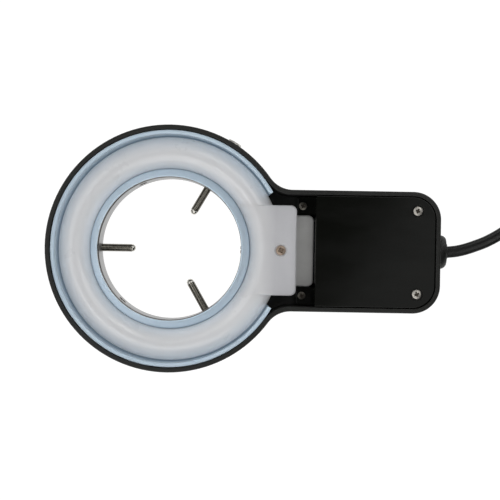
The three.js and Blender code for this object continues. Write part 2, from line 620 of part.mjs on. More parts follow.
add('strain_relief', strainRelief(), blackRubber);
addCord();

export default head;
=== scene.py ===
"""A fluorescent ring light for a stereo microscope, lying on its back with its light side up.

Lengths are in millimetres from the ring's axis until mesh_object() turns them into metres. The
camera and the lights are placed in metres.
"""

import math

import bmesh
import bpy
from mathutils import Matrix, Vector


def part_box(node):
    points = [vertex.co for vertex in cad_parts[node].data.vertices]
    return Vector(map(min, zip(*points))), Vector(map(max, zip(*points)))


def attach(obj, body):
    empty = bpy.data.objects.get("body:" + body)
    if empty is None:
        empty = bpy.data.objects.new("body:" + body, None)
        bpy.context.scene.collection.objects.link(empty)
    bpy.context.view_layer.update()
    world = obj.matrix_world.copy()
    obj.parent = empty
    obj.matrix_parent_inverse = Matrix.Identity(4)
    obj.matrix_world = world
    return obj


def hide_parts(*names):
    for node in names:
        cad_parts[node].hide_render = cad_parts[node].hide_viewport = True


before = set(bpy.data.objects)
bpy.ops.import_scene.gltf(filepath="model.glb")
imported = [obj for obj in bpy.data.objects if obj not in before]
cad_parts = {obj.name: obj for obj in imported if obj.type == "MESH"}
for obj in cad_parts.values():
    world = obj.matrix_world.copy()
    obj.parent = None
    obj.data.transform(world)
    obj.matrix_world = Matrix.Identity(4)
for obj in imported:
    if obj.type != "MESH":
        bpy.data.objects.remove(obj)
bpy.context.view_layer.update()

MM = 0.001
show = bpy.context.scene.collection.objects.link
ARC_STEP = 3.0  # degrees between the points of a large round edge
RING_X = sum(corner.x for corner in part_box("collar")) / 2  # the ring's axis, in metres


def span(node):
    """A CAD node's lowest and highest corners, in millimetres from the ring's axis."""
    shift = Vector((RING_X, 0, 0))
    return [(corner - shift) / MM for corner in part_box(node)]


def place(x, y, z):
    """A point in the row frame, in metres, from millimetres about the ring's axis."""
    return Vector((RING_X + x * MM, y * MM, z * MM))


# ---- dimensions, from the frame where a node's box gives them ----
GAP = 0.3  # between pieces that touch on the real object
HEAD_LO, HEAD_HI = span("housing")
RING_R = -HEAD_LO.x
HANDLE_END = HEAD_HI.x
HANDLE_HALF = 26.3  # half the handle's width
HANDLE_CORNER = 12.0
BLEND_R = 12.0  # where the handle runs into the ring
RIM_Z = HEAD_HI.z
RING_BACK_Z = 7.4  # the collar's flange holds the ring's back off the table
WALL = 2.0
FLOOR = 1.8
FLOOR_TOP_Z = RING_BACK_Z + FLOOR
BOX_X = 56.0  # the head is full depth from here to the handle's end

BORE_R = 31.2
COLLAR_HI = span("collar")[1]
SPIGOT_R = 32.7  # the part of the collar inside the housing
NECK_R = 33.8  # the housing's own neck around it
COLLAR_SCREW_Z = 13.0
COLLAR_SCREW_DEGS = (0, 114, 228)

LAMP_R = 42.1  # the lamp tube's centre circle
TUBE_R = 6.9
LAMP_Z = 18.0
CHANNEL_IN = 34.9  # the reflector's inner and outer wall
CHANNEL_OUT = 49.6
TAB_HI = span("lamp_base")[1]
SOCKET_LO, SOCKET_HI = span("lamp_socket")
PIN_X = 52.5  # the lamp's contact pins, between its tab and its socket
PIN_YS = (-12, -4, 4, 12)
COVER_LO, COVER_HI = span("ballast_cover")
COVER_X = 63.5  # the raised part of the cover starts here
SHELF_Z = 16.0  # top of the low shelf in front of it
SWITCH_X = 72.5

LAMP_SCREW_X = 48.65
COVER_SCREW = (107.5, 18.0)
SHELF_SCREW = (58.2, 19.74)
HOLE_R = 1.4  # of the pilot holes, and of those for the pins
LAMP_BOSS = (2.4, 12.0)  # radius and top of the pillar under each screw
COVER_BOSS = (3.2, 29.0)
SHELF_BOSS = (2.5, 14.2)

THUMBS = ((180.0, 16.0), (60.0, 18.0), (-60.0, 15.7))  # direction, and where the tip is
THUMB_Z = 3.7
THUMB_R = 1.75
THUMB_LENGTH = 37.6
KNURL_START = THUMB_LENGTH - 9.0  # the knurled head takes up the rest
SHAFT_END = KNURL_START - 0.6  # where the boss beneath the head starts
TIP_LENGTH = 1.8

CORD_WIDTH = 5.1
CORD_THICK = 2.7
EXIT = (122.0, 0.5, 16.0)  # where the cord leaves its strain relief
COIL_X = 192.0


# ---- camera ----
def add_camera():
    """Straight above the front rim, a little off the middle of the head."""
    data = bpy.data.cameras.new("camera")
    data.sensor_width = 36.0
    data.lens = 116.8
    camera = bpy.data.objects.new("camera", data)
    camera.location = (0.00096, -0.00004, 0.732)
    camera.rotation_euler = (0, 0, math.radians(1.0))
    show(camera)
    bpy.context.scene.camera = camera


add_camera()


# ---- shapes ----
def arc(cx, cy, r, start, end, step=ARC_STEP):
    """Points round an arc, from one angle to another in degrees."""
    count = max(2, round(abs(end - start) / step))
    angles = [math.radians(start + (end - start) * i / count) for i in range(count + 1)]
    return [(cx + r * math.cos(a), cy + r * math.sin(a)) for a in angles]


def rounded(corners, closed=True, steps=5):
    """An outline through (x, y, radius) corners, each rounded to its radius."""
    points = []
    for i, (x, y, r) in enumerate(corners):
        if r == 0 or (not closed and i in (0, len(corners) - 1)):
            points.append((x, y))
            continue
        here = Vector((x, y))
        back = (Vector(corners[i - 1][:2]) - here).normalized()
        ahead = (Vector(corners[(i + 1) % len(corners)][:2]) - here).normalized()
        half = back.angle(ahead) / 2
        centre = here + (back + ahead).normalized() * (r / math.sin(half))
        a = here + back * (r / math.tan(half)) - centre
        b = here + ahead * (r / math.tan(half)) - centre
        turn = math.pi - 2 * half
        for k in range(steps + 1):
            t = k / steps
            p = centre + (a * math.sin((1 - t) * turn) + b * math.sin(t * turn)) / math.sin(turn)
            points.append((p.x, p.y))
    return points


def head_outline(inset):
    """The outline of ring and handle together, moved in by inset."""
    ring, half, blend = RING_R - inset, HANDLE_HALF - inset, BLEND_R + inset
    corner, end = max(HANDLE_CORNER - inset, 0.2), HANDLE_END - inset
    cx, cy = end - corner, half - corner
    bx = math.sqrt((ring + blend) ** 2 - (half + blend) ** 2)
    turn = math.degrees(math.atan2(half + blend, bx))
    return [
        *arc(0, 0, ring, turn, 360 - turn),
        *arc(bx, -half - blend, blend, 180 - turn, 90)[1:],
        *arc(cx, -cy, corner, -90, 0),
        *arc(cx, cy, corner, 0, 90),
        *arc(bx, half + blend, blend, 270, 180 + turn)[:-1],
    ]


def plate_outline(x0, x1, half, corner, back=0.6):
    """An outline maker for a plate with corners of one radius at x1 and another at x0."""
    def outline(inset):
        near, far = max(back - inset, 0.05), max(corner - inset, 0.05)
        low, high, side = x0 + inset, x1 - inset, half - inset
        return [
            *arc(low + near, -side + near, near, 180, 270, 15),
            *arc(high - far, -side + far, far, 270, 360, 5),
            *arc(high - far, side - far, far, 0, 90, 5),
            *arc(low + near, side - near, near, 90, 180, 15),
        ]
    return outline


def mesh_object(name, verts, faces):
    """A scene object from points in millimetres, with its faces pointing out."""
    mesh = bpy.data.meshes.new(name)
    mesh.from_pydata([place(*v) for v in verts], [], faces)
    obj = bpy.data.objects.new(name, mesh)
    show(obj)
    shape = bmesh.new()
    shape.from_mesh(mesh)
    bmesh.ops.remove_doubles(shape, verts=shape.verts, dist=1e-7)
    bmesh.ops.recalc_face_normals(shape, faces=shape.faces)
    shape.to_mesh(mesh)
    shape.free()
    return obj


def loft(name, rings, closed=False):
    """Joins rings of as many points each, and caps the ends unless the rings close up."""
    count = len(rings[0])
    verts = [point for ring in rings for point in ring]
    faces = []
    for i in range(len(rings) if closed else len(rings) - 1):
        a, b = i * count, ((i + 1) % len(rings)) * count
        for k in range(count):
            n = (k + 1) % count
            faces.append((a + k, a + n, b + n, b + k))
    if not closed:
        faces.append(tuple(range(count)))
        faces.append(tuple(range(len(verts) - count, len(verts))))
    return mesh_object(name, verts, faces)


def prism(name, outline, profile):
    """A solid that follows an outline maker up a profile of (inset, z)."""
    return loft(name, [[(x, y, z) for x, y in outline(inset)] for inset, z in profile])


def angles_round(sides):
    return [2 * math.pi * k / sides for k in range(sides)]


def circle(r, z, sides):
    return [(r * math.cos(a), r * math.sin(a), z) for a in angles_round(sides)]


def lathe(name, profile, sides=120, solid=False):
    """A profile of (radius, z) turned about Z: closed, or a solid with flat ends."""
    return loft(name, [circle(r, z, sides) for r, z in profile], closed=not solid)


def rod(name, r, z0, z1, sides=32):
    """A plain round bar up the Z axis."""
    return lathe(name, [(r, z0), (r, z1)], sides, solid=True)


def rectangle(x0, x1, y0, y1):
    return [(x0, y0), (x1, y0), (x1, y1), (x0, y1)]


def block(name, x, y, z):
    """A box between a low and a high value along each axis."""
    return loft(name, [[(px, py, pz) for px, py in rectangle(*x, *y)] for pz in z])


def moved(obj, x=0.0, y=0.0, z=0.0):
    """Shifts a piece by millimetres."""
    obj.data.transform(Matrix.Translation(Vector((x, y, z)) * MM))
    return obj


def rotated(obj, degrees, axis="Z"):
    """Turns a piece about an axis through the ring's middle on the floor."""
    shift = Matrix.Translation(place(0, 0, 0))
    turn = Matrix.Rotation(math.radians(degrees), 4, axis)
    obj.data.transform(shift @ turn @ shift.inverted())
    return obj


def outward(obj, degrees, z):
    """Turns a piece drawn up the ring's axis so that it points out from it at a height."""
    return rotated(moved(rotated(obj, 90, "Y"), z=z), degrees)


def upright(name, r, x, y, z0, z1):
    """A plain round bar that stands on a spot of its own."""
    return moved(rod(name, r, z0, z1), x, y)


def both_sides(spot):
    """A spot and its mirror image across the head's middle."""
    x, y = spot
    return [(x, -y), (x, y)]


def combined(obj, tools, operation):
    """The piece after boolean steps with other pieces, which are used up."""
    for tool in tools:
        step = obj.modifiers.new(operation, "BOOLEAN")
        step.operation = operation
        step.solver = "MANIFOLD"
        step.object = tool
    graph = bpy.context.evaluated_depsgraph_get()
    obj.data = bpy.data.meshes.new_from_object(obj.evaluated_get(graph))
    obj.modifiers.clear()
    for tool in tools:
        bpy.data.objects.remove(tool)
    return obj


def cut(obj, *tools):
    return combined(obj, tools, "DIFFERENCE")


def join(obj, *tools):
    return combined(obj, tools, "UNION")


def round_edges(obj, width, segments, angle):
    """Bevels the edges that turn by more than an angle."""
    step = obj.modifiers.new("edges", "BEVEL")
    step.width = width * MM
    step.segments = segments
    step.limit_method = "ANGLE"
    step.angle_limit = math.radians(angle)


def weight_normals(obj):
    """Keeps flat faces flat between their round edges."""
    step = obj.modifiers.new("normals", "WEIGHTED_NORMAL")
    step.keep_sharp = True


def smooth(obj, angle=30.0):
    """Smooth shading with crisp edges."""
    obj.data.shade_smooth()
    obj.data.set_sharp_from_angle(angle=math.radians(angle))
    weight_normals(obj)
    return obj


def settle(obj, finish, nodes=(), body="lamp_head"):
    """Gives a finished piece its material, its body and the CAD nodes it stands for."""
    obj.data.materials.clear()
    obj.data.materials.append(MATERIALS[finish])
    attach(obj, body)
    if nodes:
        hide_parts(*nodes)
    return obj


# ---- materials ----
def set_inputs(node, **values):
    """Sets a node's sockets by name, with _ for a space."""
    for socket, value in values.items():
        node.inputs[socket.replace("_", " ")].default_value = value


class Surface:
    """A Principled material, with helpers that layer noise into its colour, gloss and relief."""

    def __init__(self, color, roughness, metallic=0.0, **sockets):
        self.material = bpy.data.materials.new("surface")
        self.material.use_nodes = True
        self.nodes = self.material.node_tree.nodes
        self.link = self.material.node_tree.links.new
        self.shader = self.nodes["Principled BSDF"]
        self.color = color
        set_inputs(self.shader, Base_Color=(*color, 1), Roughness=roughness, Metallic=metallic,
                   **sockets)
        self.coordinates = self.nodes.new("ShaderNodeTexCoord").outputs["Object"]

    def noise(self, size, detail=4.0, scale=(1, 1, 1)):
        """Noise with blotches of about size millimetres, squeezed by scale."""
        mapping = self.nodes.new("ShaderNodeMapping")
        texture = self.nodes.new("ShaderNodeTexNoise")
        set_inputs(mapping, Scale=scale)
        set_inputs(texture, Scale=1 / (size * MM), Detail=detail, Roughness=0.55)
        self.link(self.coordinates, mapping.inputs["Vector"])
        self.link(mapping.outputs["Vector"], texture.inputs["Vector"])
        return texture.outputs["Fac"]

    def ranged(self, value, low, high, start=0.3, end=0.7):
        """Maps start and end, between which most noise lies, to low and high."""
        step = self.nodes.new("ShaderNodeMapRange")
        set_inputs(step, From_Min=start, From_Max=end, To_Min=low, To_Max=high)
        self.link(value, step.inputs["Value"])
        return step.outputs["Result"]

    def mixed(self, factor, color):
        """Brings another colour into the base colour by a factor."""
        mix = self.nodes.new("ShaderNodeMix")
        mix.data_type = "RGBA"
        set_inputs(mix, B=(*color, 1))
        self.link(factor, mix.inputs["Factor"])
        self.link(mix.outputs["Result"], self.shader.inputs["Base Color"])
        return mix

    def mottle(self, other, size, **options):
        """Blends the base colour towards another in soft blotches."""
        mix = self.mixed(self.ranged(self.noise(size, **options), 0, 1), other)
        set_inputs(mix, A=(*self.color, 1))
        return self

    def shaded_along_x(self, shade, start, end):
        """Paints shade into the base colour: multiplies it, more and more from one x to another in
        millimetres.
        """
        before = self.shader.inputs["Base Color"].links[0].from_socket
        parts = self.nodes.new("ShaderNodeSeparateXYZ")
        self.link(self.coordinates, parts.inputs["Vector"])
        reach = [RING_X + x * MM for x in (start, end)]
        mix = self.mixed(self.ranged(parts.outputs["X"], 0, 1, *reach), shade)
        mix.blend_type = "MULTIPLY"
        self.link(before, mix.inputs["A"])
        return self

    def uneven(self, low, high, size, **options):
        """Lets the roughness wander between two values."""
        value = self.ranged(self.noise(size, **options), low, high)
        self.link(value, self.shader.inputs["Roughness"])
        return self

    def grain(self, size, height, **options):
        """A bump of noise, of that height in millimetres."""
        bump = self.nodes.new("ShaderNodeBump")
        set_inputs(bump, Distance=height * MM)
        self.link(self.noise(size, **options), bump.inputs["Height"])
        self.link(bump.outputs["Normal"], self.shader.inputs["Normal"])
        return self


MATERIALS = {}


def kept(maker):
    """Makes a surface and keeps its material under its maker's name."""
    MATERIALS[maker.__name__] = maker().material
    MATERIALS[maker.__name__].name = maker.__name__
    return maker


@kept
def housing_plastic():
    """Black moulded plastic with a fine spark-eroded grain."""
    return (Surface((0.015, 0.0155, 0.014), 0.5, Specular_IOR_Level=0.3)
            .mottle((0.018, 0.0186, 0.0168), 14)
            .uneven(0.42, 0.54, 9)
            .grain(0.35, 0.02, detail=2))


@kept
def cover_plastic():
    """Black plastic moulded in a polished tool, with faint wiping marks."""
    return (Surface((0.0044, 0.0048, 0.0038), 0.12)
            .mottle((0.0058, 0.0063, 0.005), 25)
            .uneven(0.09, 0.16, 12, scale=(0.4, 1.6, 1))
            .grain(9, 0.01, detail=1))


@kept
def reflector_plastic():
    """White plastic moulded glossy to throw the light forward, with the light's bluish cast painted
    into its colour.
    """
    # painted light: the bluish tint is the cast of the light on white plastic
    return (Surface((0.70, 0.84, 0.96), 0.14)
            .mottle((0.66, 0.81, 0.94), 18, detail=2)
            .uneven(0.1, 0.18, 8)
            .grain(6, 0.006, detail=1))


@kept
def lamp_glass():
    """Thin glass with a milky phosphor coat behind it, and a faint painted glow that brightens the tube
    where the channel shades it.
    """
    return (Surface((0.67, 0.67, 0.677), 0.34, Subsurface_Weight=0.8,
                    Subsurface_Radius=(1, 1, 1), Subsurface_Scale=0.007,
                    # painted glow: this emission stands in for fill light in the shaded channel
                    Emission_Color=(1, 1, 1, 1), Emission_Strength=0.12,
                    Coat_Weight=0.7, Coat_Roughness=0.1)
            .mottle((0.655, 0.657, 0.665), 9, detail=5)
            .uneven(0.26, 0.36, 10))


@kept
def lamp_plastic():
    """Milky plastic with a faint painted glow, and painted shade that darkens it over the tab, where
    the tab is thin.
    """
    return (Surface((0.67, 0.67, 0.677), 0.36, Subsurface_Weight=0.8,
                    Subsurface_Radius=(1, 1, 1), Subsurface_Scale=0.006,
                    # painted glow: emission standing in for light on the cap and tab
                    Emission_Color=(1, 1, 1, 1), Emission_Strength=0.09)
            .mottle((0.645, 0.647, 0.657), 8)
            # painted shade: darker and a touch bluer over the tab, away from the tube
            .shaded_along_x((0.82, 0.82, 0.845), LAMP_R - 2, LAMP_R + 4)
            .uneven(0.3, 0.42, 5)
            .grain(0.5, 0.006, detail=2))


@kept
def socket_plastic():
    """Greyish white plastic, with painted shade that dims it where it runs in under the cover."""
    return (Surface((0.68, 0.68, 0.665), 0.5)
            .mottle((0.61, 0.61, 0.595), 6)
            # painted shade on the end that runs in under the cover
            .shaded_along_x((0.68, 0.68, 0.68), SOCKET_HI.x - 6, SOCKET_HI.x - 1)
            .uneven(0.44, 0.58, 4)
            .grain(0.4, 0.012, detail=2))


@kept
def collar_metal():
    """Turned aluminium with the tool's fine rings."""
    return (Surface((0.225, 0.224, 0.22), 0.34, 1.0)
            .mottle((0.195, 0.193, 0.189), 10, scale=(1, 1, 3))
            .uneven(0.28, 0.4, 2.5, scale=(0.3, 0.3, 6))
            .grain(2.5, 0.008, scale=(0.15, 0.15, 10), detail=3))


@kept
def screw_steel():
    """Blackened steel, olive grey where the oil has worn off."""
    return (Surface((0.245, 0.23, 0.196), 0.24, 1.0)
            .mottle((0.205, 0.192, 0.162), 5, detail=3)
            .uneven(0.2, 0.3, 3)
            .grain(0.4, 0.003))


@kept
def tip_steel():
    """Steel polished where it turns against the barrel."""
    return (Surface((0.68, 0.66, 0.61), 0.14, 1.0)
            .mottle((0.52, 0.50, 0.45), 0.8)
            .uneven(0.1, 0.22, 0.6)
            .grain(0.3, 0.004))


@kept
def knurl_steel():
    """Bright plated steel, duller where fingers have worn it."""
    return (Surface((0.62, 0.61, 0.57), 0.3, 1.0)
            .mottle((0.48, 0.47, 0.43), 2)
            .uneven(0.22, 0.4, 1.2)
            .grain(0.3, 0.008))


@kept
def nickel():
    """Satin nickel plating."""
    return (Surface((0.56, 0.54, 0.50), 0.5, 1.0)
            .mottle((0.48, 0.455, 0.41), 1.2)
            .uneven(0.42, 0.56, 0.9)
            .grain(0.3, 0.006))


@kept
def nickel_painted_shade():
    """Nickel plating darkened all over with painted shade, for the screws down in the shelf's shade,
    and blotched browner in places.
    """
    return (Surface((0.21, 0.2, 0.175), 0.45, 1.0)
            .mottle((0.14, 0.13, 0.11), 0.9)
            .uneven(0.42, 0.56, 0.7)
            .grain(0.3, 0.01))


@kept
def dull_brass():
    """Brass gone brown, with darker specks."""
    return (Surface((0.44, 0.35, 0.28), 0.5, 1.0)
            .mottle((0.33, 0.26, 0.20), 0.9, detail=6)
            .uneven(0.44, 0.6, 0.7)
            .grain(0.4, 0.015))


@kept
def cord_jacket():
    """Soft black PVC with a slightly greasy sheen."""
    return (Surface((0.009, 0.0095, 0.009), 0.46, Specular_IOR_Level=0.35)
            .mottle((0.013, 0.0135, 0.013), 7)
            .uneven(0.38, 0.54, 4)
            .grain(0.6, 0.015))


@kept
def moulded_rubber():
    """Soft black moulding with a fine matt grain."""
    return (Surface((0.009, 0.0095, 0.0085), 0.5, Specular_IOR_Level=0.35)
            .mottle((0.013, 0.0135, 0.0125), 5)
            .uneven(0.44, 0.6, 3)
            .grain(0.3, 0.02, detail=2))


@kept
def dark_metal_and_recess_shade():
    """Dark metal: painted shade in the screws' cross recesses, and the whole of the collar's small
    screws.
    """
    return (Surface((0.06, 0.05, 0.038), 0.7, 0.3)
            .mottle((0.10, 0.083, 0.062), 0.6)
            .uneven(0.6, 0.8, 0.5)
            .grain(0.3, 0.01))


@kept
def tie_plastic():
    """Greyish white nylon."""
    return (Surface((0.55, 0.54, 0.50), 0.4)
            .mottle((0.48, 0.47, 0.43), 3)
            .uneven(0.34, 0.5, 2)
            .grain(0.25, 0.01))


@kept
def circuit_board():
    """Green solder resist with paler copper tracks under it."""
    return (Surface((0.03, 0.14, 0.06), 0.35)
            .mottle((0.07, 0.24, 0.10), 3.5, scale=(1, 3, 1), detail=1)
            .uneven(0.28, 0.5, 3)
            .grain(0.8, 0.03))


@kept
def ferrite():
    """Dark grey sintered powder with a pitted skin."""
    return (Surface((0.035, 0.035, 0.038), 0.6)
            .mottle((0.06, 0.06, 0.062), 0.7)
            .uneven(0.5, 0.75, 1)
            .grain(0.3, 0.03))


@kept
def copper_wire():
    """Enamelled wire wound side by side."""
    return (Surface((0.45, 0.17, 0.07), 0.3, 1.0, Coat_Weight=0.4)
            .mottle((0.30, 0.11, 0.05), 1.5)
            .grain(1.2, 0.08, scale=(0.1, 0.1, 4), detail=0))


@kept
def dipped_epoxy():
    """Blue resin that ran a little before it set."""
    return (Surface((0.03, 0.06, 0.26), 0.28, Coat_Weight=0.3)
            .mottle((0.04, 0.08, 0.32), 4)
            .uneven(0.2, 0.36, 3)
            .grain(2, 0.05))


@kept
def component_plastic():
    """Near black moulding compound."""
    return (Surface((0.022, 0.022, 0.024), 0.42)
            .mottle((0.034, 0.034, 0.036), 2)
            .uneven(0.34, 0.52, 1.5)
            .grain(0.25, 0.015))


# ---- cord ----
# Straight out of the strain relief, down to the surface and into the coil's outer turn.
LEAD_ROUTE = (
    (122, 0.5, 16), (126, 0.95, 15.95), (130.2, 1.95, 15.6), (135, 3.6, 14.8), (139.2, 5.25, 13.8),
    (144, 7.7, 12.2), (149, 10.7, 10), (154, 14, 7.4), (159, 17.5, 4.9), (164.5, 21.4, 2.9),
    (170, 25.2, 2), (175.4, 28.8, 1.85),
)
COIL_R = 28.0
COIL_COLUMNS = (COIL_R + 5.3, COIL_R, COIL_R - 5.3)  # turns beside each other
COIL_ROWS = (1.85, 4.75, 7.65)  # and on each other
COIL_START_DEG = 120.0
COIL_TURNS = 6 + 30 / 360
# (start turn, end turn, column and row after it): the turns step in, up, out and up again.
COIL_STEPS = (
    (0.70, 0.98, 1, 0), (1.65, 1.98, 2, 0), (2.5, 2.7, 2, 1),
    (3.25, 3.55, 1, 1), (4.2, 4.5, 0, 1), (5.05, 5.25, 0, 2),
)
POINTS_A_TURN = 24
TAIL_R = 23.0  # the last bend, over the coil to the plug
TAIL_Y = COIL_COLUMNS[0] - TAIL_R
TAIL_STEPS = 12
PLUG_Z = 15.8
CLIMB = 61.0  # the cord rises to the plug over this much of its end
PATH_STEP = 2.2
TIE_DEG = 200.0


def smoothstep(t):
    """A ramp from 0 to 1 that starts and ends level."""
    t = min(max(t, 0.0), 1.0)
    return t * t * (3 - 2 * t)


def coil_point(turn):
    """Where the cord is after so many turns of the coil."""
    radius, height = COIL_COLUMNS[0], COIL_ROWS[0]
    for start, end, column, row in COIL_STEPS:
        t = smoothstep((turn - start) / (end - start))
        radius += (COIL_COLUMNS[column] - radius) * t
        height += (COIL_ROWS[row] - height) * t
    angle = math.radians(COIL_START_DEG - 360 * turn)
    return (COIL_X + radius * math.cos(angle), radius * math.sin(angle), height)


def tail_point(t):
    """A point of the quarter bend between coil and plug, with t from 0 to 1."""
    angle = math.radians(90 * (1 - t))
    return (COIL_X + TAIL_R * math.cos(angle), TAIL_Y + TAIL_R * math.sin(angle), COIL_ROWS[2])


def cord_route():
    """The whole cord's points, in millimetres, from its exit to the plug."""
    points = list(LEAD_ROUTE)
    points += [coil_point(i / POINTS_A_TURN) for i in range(int(COIL_TURNS * POINTS_A_TURN) + 1)]
    points += [coil_point(COIL_TURNS)]
    points += [tail_point(i / TAIL_STEPS) for i in range(1, TAIL_STEPS + 1)]
    return points


def climb_to_plug(points):
    """Lifts the route's last stretch smoothly to the plug's height."""
    lengths = [0.0]
    for a, b in zip(points, points[1:]):
        lengths.append(lengths[-1] + math.dist(a, b))
    start = lengths[-1] - CLIMB
    return [(x, y, z + (PLUG_Z - COIL_ROWS[2]) * smoothstep((s - start) / CLIMB))
            for (x, y, z), s in zip(points, lengths)]


def resampled(points):
    """A smooth Catmull-Rom curve through the points, as points about one step apart."""
    curve = []
    ends = [points[0], *points, points[-1]]
    for a, b, c, d in zip(ends, ends[1:], ends[2:], ends[3:]):
        a, b, c, d = map(Vector, (a, b, c, d))
        count = max(1, round((c - b).length / PATH_STEP))
        for i in range(count):
            t = i / count
            curve.append(0.5 * (2 * b + (c - a) * t + (2 * a - 5 * b + 4 * c - d) * t * t
                                + (3 * b - a - 3 * c + d) * t ** 3))
    curve.append(Vector(points[-1]))
    return curve


def twin_section():
    """Two round cores side by side with a shallow groove between them."""
    core = CORD_THICK / 2
    reach = CORD_WIDTH / 2 - core
    side = arc(reach, 0, core, -112, 112, 20)
    groove = 0.78 * core
    return [(0, -groove), *side, (0, groove), *[(-x, y) for x, y in reversed(side)]]


def swept(name, path, section):
    """A section carried along a path with its flat side level."""
    rings = []
    for i, point in enumerate(path):
        along = path[min(i + 1, len(path) - 1)] - path[max(i - 1, 0)]
        side = Vector((0, 0, 1)).cross(along).normalized()
        up = along.cross(side).normalized()
        rings.append([tuple(point + side * x + up * y) for x, y in section])
    return loft(name, rings)


def add_cord():
    """The cord as a mesh, with the path that it follows and its length in metres."""
    path = resampled(climb_to_plug(cord_route()))
    cord = smooth(swept("mains_cord", path, twin_section()), 50)
    settle(cord, "cord_jacket", ("cord_lead", "cord_coil", "cord_tail"))
    length = sum((b - a).length for a, b in zip(path, path[1:])) * MM
    return cord, path, length


def cord_tie():
    """A flat tie round all the turns of the coil."""
    inner, outer = COIL_COLUMNS[2] - CORD_WIDTH / 2, COIL_COLUMNS[0] + CORD_WIDTH / 2
    low, high = COIL_ROWS[0] - CORD_THICK / 2, COIL_ROWS[2] + CORD_THICK / 2
    half, thick, slack, corner = 3.6, 0.35, 0.12, 1.2
    rings = []
    for out, y in ((slack, -half), (slack + thick, -half), (slack + thick, half), (slack, half)):
        corners = rectangle(inner - out, outer + out, low - out, high + out)
        outline = rounded([(x, z, corner) for x, z in corners], steps=6)
        rings.append([(x, y, z) for x, z in outline])
    band = loft("cord_tie_band", rings, closed=True)
    return moved(rotated(band, TIE_DEG), x=COIL_X)


def superellipse(half_x, half_z, power):
    """An ellipse that gets squarer as the power grows."""
    points = []
    for a in angles_round(48):
        c, s = math.cos(a), math.sin(a)
        x = math.copysign(abs(c) ** (2 / power), c) * half_x
        z = math.copysign(abs(s) ** (2 / power), s) * half_z
        points.append((x, z))
    return points


def relief_ribs(first, pitch, growth):
    """Sections of the plug's bend relief: four ribs that grow towards its body."""
    flat = 0.82  # height over width
    sections = []
    for rib in range(4):
        start, size = first + rib * pitch, 3.6 + rib * growth
        for along, less in ((0, 0), (1.5, 0), (1.6, 0.7), (2.6, 0.6)):
            sections.append((start + along, size - less, (size - less) * flat, 2.2))
    return sections


def plug_body():
    """A moulded two-pin plug: ribbed relief, waist and block, lofted along -Y."""
    back = TAIL_Y - GAP
    # (how far along, half width, half height, squareness)
    sections = [(0.0, 3.2, 2.6, 2.0), (0.5, 3.6, 3.0, 2.0), *relief_ribs(1.2, 2.7, 0.42),
                (12.4, 6.2, 4.6, 2.4), (14.2, 9.6, 5.6, 3.2), (15.4, 11.0, 5.9, 4.5),
                (18.0, 11.5, 6.0, 6.0), (24.0, 10.8, 5.7, 6.0), (30.0, 11.5, 6.0, 6.0),
                (33.4, 11.5, 6.0, 6.0), (34.0, 11.0, 5.5, 6.0)]
    x = COIL_X + TAIL_R
    rings = [[(x + px, back - along, PLUG_Z + pz) for px, pz in superellipse(a, b, power)]
             for along, a, b, power in sections]
    return loft("plug_moulding", rings)


def plug_blade(index):
    """A flat blade with rounded corners and a hole near its end."""
    lo, hi = span(f"plug_blade_{index}")
    corner, hole_r, hole_inset = 1.6, 1.6, 4.2
    outline = rounded([(hi.y, lo.z, 0), (lo.y, lo.z, corner), (lo.y, hi.z, corner), (hi.y, hi.z, 0)])
    blade = loft(f"plug_blade_{index}_metal", [[(x, y, z) for y, z in outline] for x in (lo.x, hi.x)])
    hole = rotated(rod("hole", hole_r, -2, 2), 90, "Y")
    cut(blade, moved(hole, (lo.x + hi.x) / 2, lo.y + hole_inset, (lo.z + hi.z) / 2))
    round_edges(blade, 0.2, 2, 30)
    return blade


cord, cord_path, cord_length = add_cord()
tie = settle(smooth(cord_tie(), 50), "tie_plastic", ("cord_tie",))
plug = settle(smooth(plug_body(), 40), "moulded_rubber", ("plug_body",))
blades = [settle(smooth(plug_blade(i)), "dull_brass", (f"plug_blade_{i}",)) for i in (1, 2)]


# ---- housing ----
OUTER_EDGE = 1.1  # round edges of the moulding
RIM_EDGE = 0.7
INNER_EDGE = 0.3
FLOOR_EDGE = 1.2


def wall_profile(low, high, low_edge, high_edge, reach):
    """(inset, z) points up a wall with its lower and upper edges rounded."""
    return rounded([(reach, low, 0), (0, low, low_edge), (0, high, high_edge), (reach, high, 0)],
                   closed=False)


def outer_shapes():
    """Ring and handle in one, and the deeper box under the handle."""
    box_top = RING_BACK_Z + OUTER_EDGE + 0.2
    ring_and_handle = prism("housing_shell", head_outline,
                            wall_profile(RING_BACK_Z, RIM_Z, OUTER_EDGE, RIM_EDGE, 5))
    box = prism("box", plate_outline(BOX_X, HANDLE_END, HANDLE_HALF, HANDLE_CORNER),
                wall_profile(0, box_top, OUTER_EDGE, 0, 3))
    return join(ring_and_handle, box)


def inner_shapes():
    """The hollow of ring and handle, and the one of the box below it."""
    inset = WALL - INNER_EDGE
    rim = RIM_Z - INNER_EDGE
    floor_up = rounded([(6, FLOOR_TOP_Z, 0), (WALL, FLOOR_TOP_Z, FLOOR_EDGE), (WALL, rim, 0)],
                       closed=False)
    hollow = prism("inside", head_outline, [
        *floor_up, *arc(inset, rim, INNER_EDGE, 0, 90, 22.5)[1:], (inset, RIM_Z + 1)])
    outline = plate_outline(BOX_X + WALL, HANDLE_END - WALL, HANDLE_HALF - WALL, HANDLE_CORNER - WALL)
    box_hollow = prism("box_inside", outline, [
        (FLOOR_EDGE, FLOOR), (0.4, FLOOR + 0.3), (0, FLOOR + FLOOR_EDGE), (0, FLOOR_TOP_Z + 1)])
    return [hollow, box_hollow]


